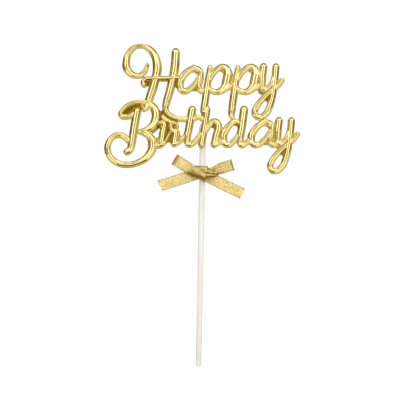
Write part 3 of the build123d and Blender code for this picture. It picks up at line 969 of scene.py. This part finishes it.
print("ribbon on", len(ribbons), "pieces")

# %% [markdown]
# ## Surroundings and floor
# The background is white, and it may not light the object more for that. A plain white world would wash
# the gold out. So the world and the floor are white only where the camera, a reflection or clear
# plastic looks at them, which the Light Path node tells.

# %% World
def seen_straight(tree):
    """Socket that is 1 for camera, glossy and transmission rays."""
    path = tree.nodes.new("ShaderNodeLightPath")
    total = path.outputs["Is Camera Ray"]
    for other in ("Is Glossy Ray", "Is Transmission Ray"):
        either = tree.nodes.new("ShaderNodeMath")
        either.operation = "MAXIMUM"
        tree.links.new(total, either.inputs[0])
        tree.links.new(path.outputs[other], either.inputs[1])
        total = either.outputs["Value"]
    return total


room_light = 0.55
world = bpy.data.worlds.new("studio")
world.use_nodes = True
bpy.context.scene.world = world
sky = world.node_tree.nodes["Background"]
sky.inputs["Color"].default_value = (1, 1, 1, 1)
sky_level = node_at(world.node_tree, "ShaderNodeMapRange", To_Min=room_light, To_Max=1)
world.node_tree.links.new(seen_straight(world.node_tree), sky_level.inputs["Value"])
world.node_tree.links.new(sky_level.outputs["Result"], sky.inputs["Strength"])
print("the world lights the object at", room_light)

# %% Floor
floor_half_side = 3
paper_white = 0.9
floor_glow = 0.5
floor_mesh = bmesh.new()
bmesh.ops.create_grid(floor_mesh, x_segments=1, y_segments=1, size=floor_half_side)
bmesh.ops.translate(floor_mesh, verts=floor_mesh.verts, vec=(0, 0, cad_low.z))
floor = piece_from(floor_mesh, "floor")
paper, paper_tree, paper_shader = new_finish("floor_paper")
paper_shader.inputs["Base Color"].default_value = (paper_white, paper_white, paper_white, 1)
paper_shader.inputs["Roughness"].default_value = 0.9
paper_shader.inputs["Emission Color"].default_value = (1, 1, 1, 1)
shine = paper_tree.nodes.new("ShaderNodeMath")
shine.operation = "MULTIPLY"
shine.inputs[1].default_value = floor_glow
paper_tree.links.new(seen_straight(paper_tree), shine.inputs[0])
paper_tree.links.new(shine.outputs["Value"], paper_shader.inputs["Emission Strength"])
floor.data.materials.append(paper)
print("floor at", round(cad_low.z / mm, 1), "mm")

# %% [markdown]
# ## Lamps
# Three large soft lamps light the topper: a key from the right, a smaller fill from the left and one
# from above. Small lamps would be easier to aim, but polished metal shows every lamp as a hard spot.
# Each lamp is set by its brightness to the eye, so that its size can change without changing how bright
# its reflection is. Their places and sizes are in metres.

# %% Lamps
lettering_middle = Vector((0, 0, 90 * mm))


def soft_lamp(name, place, size, radiance):
    """Square area lamp of an even brightness that faces the lettering."""
    data = bpy.data.lights.new(name, "AREA")
    data.size = size
    data.energy = radiance * pi * size * size
    lamp = bpy.data.objects.new(name, data)
    lamp.location = place
    lamp.rotation_euler = (lettering_middle - Vector(place)).to_track_quat("-Z", "Y").to_euler()
    lamp.visible_camera = False
    bpy.context.scene.collection.objects.link(lamp)
    print(name, round(data.energy, 2), "W")


soft_lamp("key", place=(0.26, -0.64, 0.36), size=0.70, radiance=1.44)
soft_lamp("fill", place=(-0.38, -0.60, 0.30), size=0.35, radiance=1.50)
soft_lamp("top", place=(0.0, -0.16, 0.66), size=0.40, radiance=1.0)

# %% [markdown]
# ## Cards
# Polished metal shows its surroundings, and in a white room it looks white. So warm cards stand where
# the shape should read as shaded: a wide one in front, a small one above the lens, one at each side,
# one above and one on the table, which is the darkest. A picture of a room could be reflected instead,
# but cards can be moved one at a time. They are seen in reflections alone and cast no shadow.

# %% Cards
def warm_card(name, middle, side, rise, glow):
    """Flat card that reaches from its middle by two half-sides each way, and that only reflections show."""
    card_mesh = bmesh.new()
    bmesh.ops.create_grid(card_mesh, x_segments=1, y_segments=1, size=1)
    for vert in card_mesh.verts:
        vert.co = middle + side * vert.co.x + rise * vert.co.y
    card = piece_from(card_mesh, name)
    material, _, shader = new_finish(name)
    shader.inputs["Base Color"].default_value = (0, 0, 0, 1)
    shader.inputs["Specular IOR Level"].default_value = 0
    shader.inputs["Emission Color"].default_value = (*glow, 1)
    shader.inputs["Emission Strength"].default_value = 1
    card.data.materials.append(material)
    card.visible_camera = False
    card.visible_diffuse = False
    card.visible_shadow = False
    print(name, round(2 * side.length, 2), "x", round(2 * rise.length, 2), "m")


for name, middle, side, rise, glow in [
    ("front_card", (0, -0.90, 0.35), (1.1, 0, 0), (0, 0, 0.40), (0.57, 0.53, 0.38)),
    ("lens_card", (0.08, -0.495, 0.17), (0.15, 0, 0), (0, 0, 0.10), (0.46, 0.41, 0.25)),
    ("left_card", (-0.35, -0.01, 0.12), (0, 0.21, 0), (0, 0, 0.15), (0.29, 0.245, 0.12)),
    ("right_card", (0.40, 0.02, 0.12), (0, 0.16, 0), (0, 0, 0.09), (0.16, 0.13, 0.06)),
    ("roof_card", (0, 0.05, 0.45), (0.3, 0, 0), (0, 0.15, 0), (0.40, 0.35, 0.20)),
    ("table_card", (-0.04, -0.04, -0.055), (0.09, 0, 0), (0, 0.07, 0), (0.14, 0.10, 0.022)),
]:
    warm_card(name, Vector(middle), Vector(side), Vector(rise), glow)

# %% [markdown]
# ## View transform
# The view transform decides how light becomes colour on the screen. A filmic one would soften the
# highlights, but it would also grey the white background, so the plain Standard one is set.

# %% View transform
bpy.context.scene.view_settings.view_transform = "Standard"
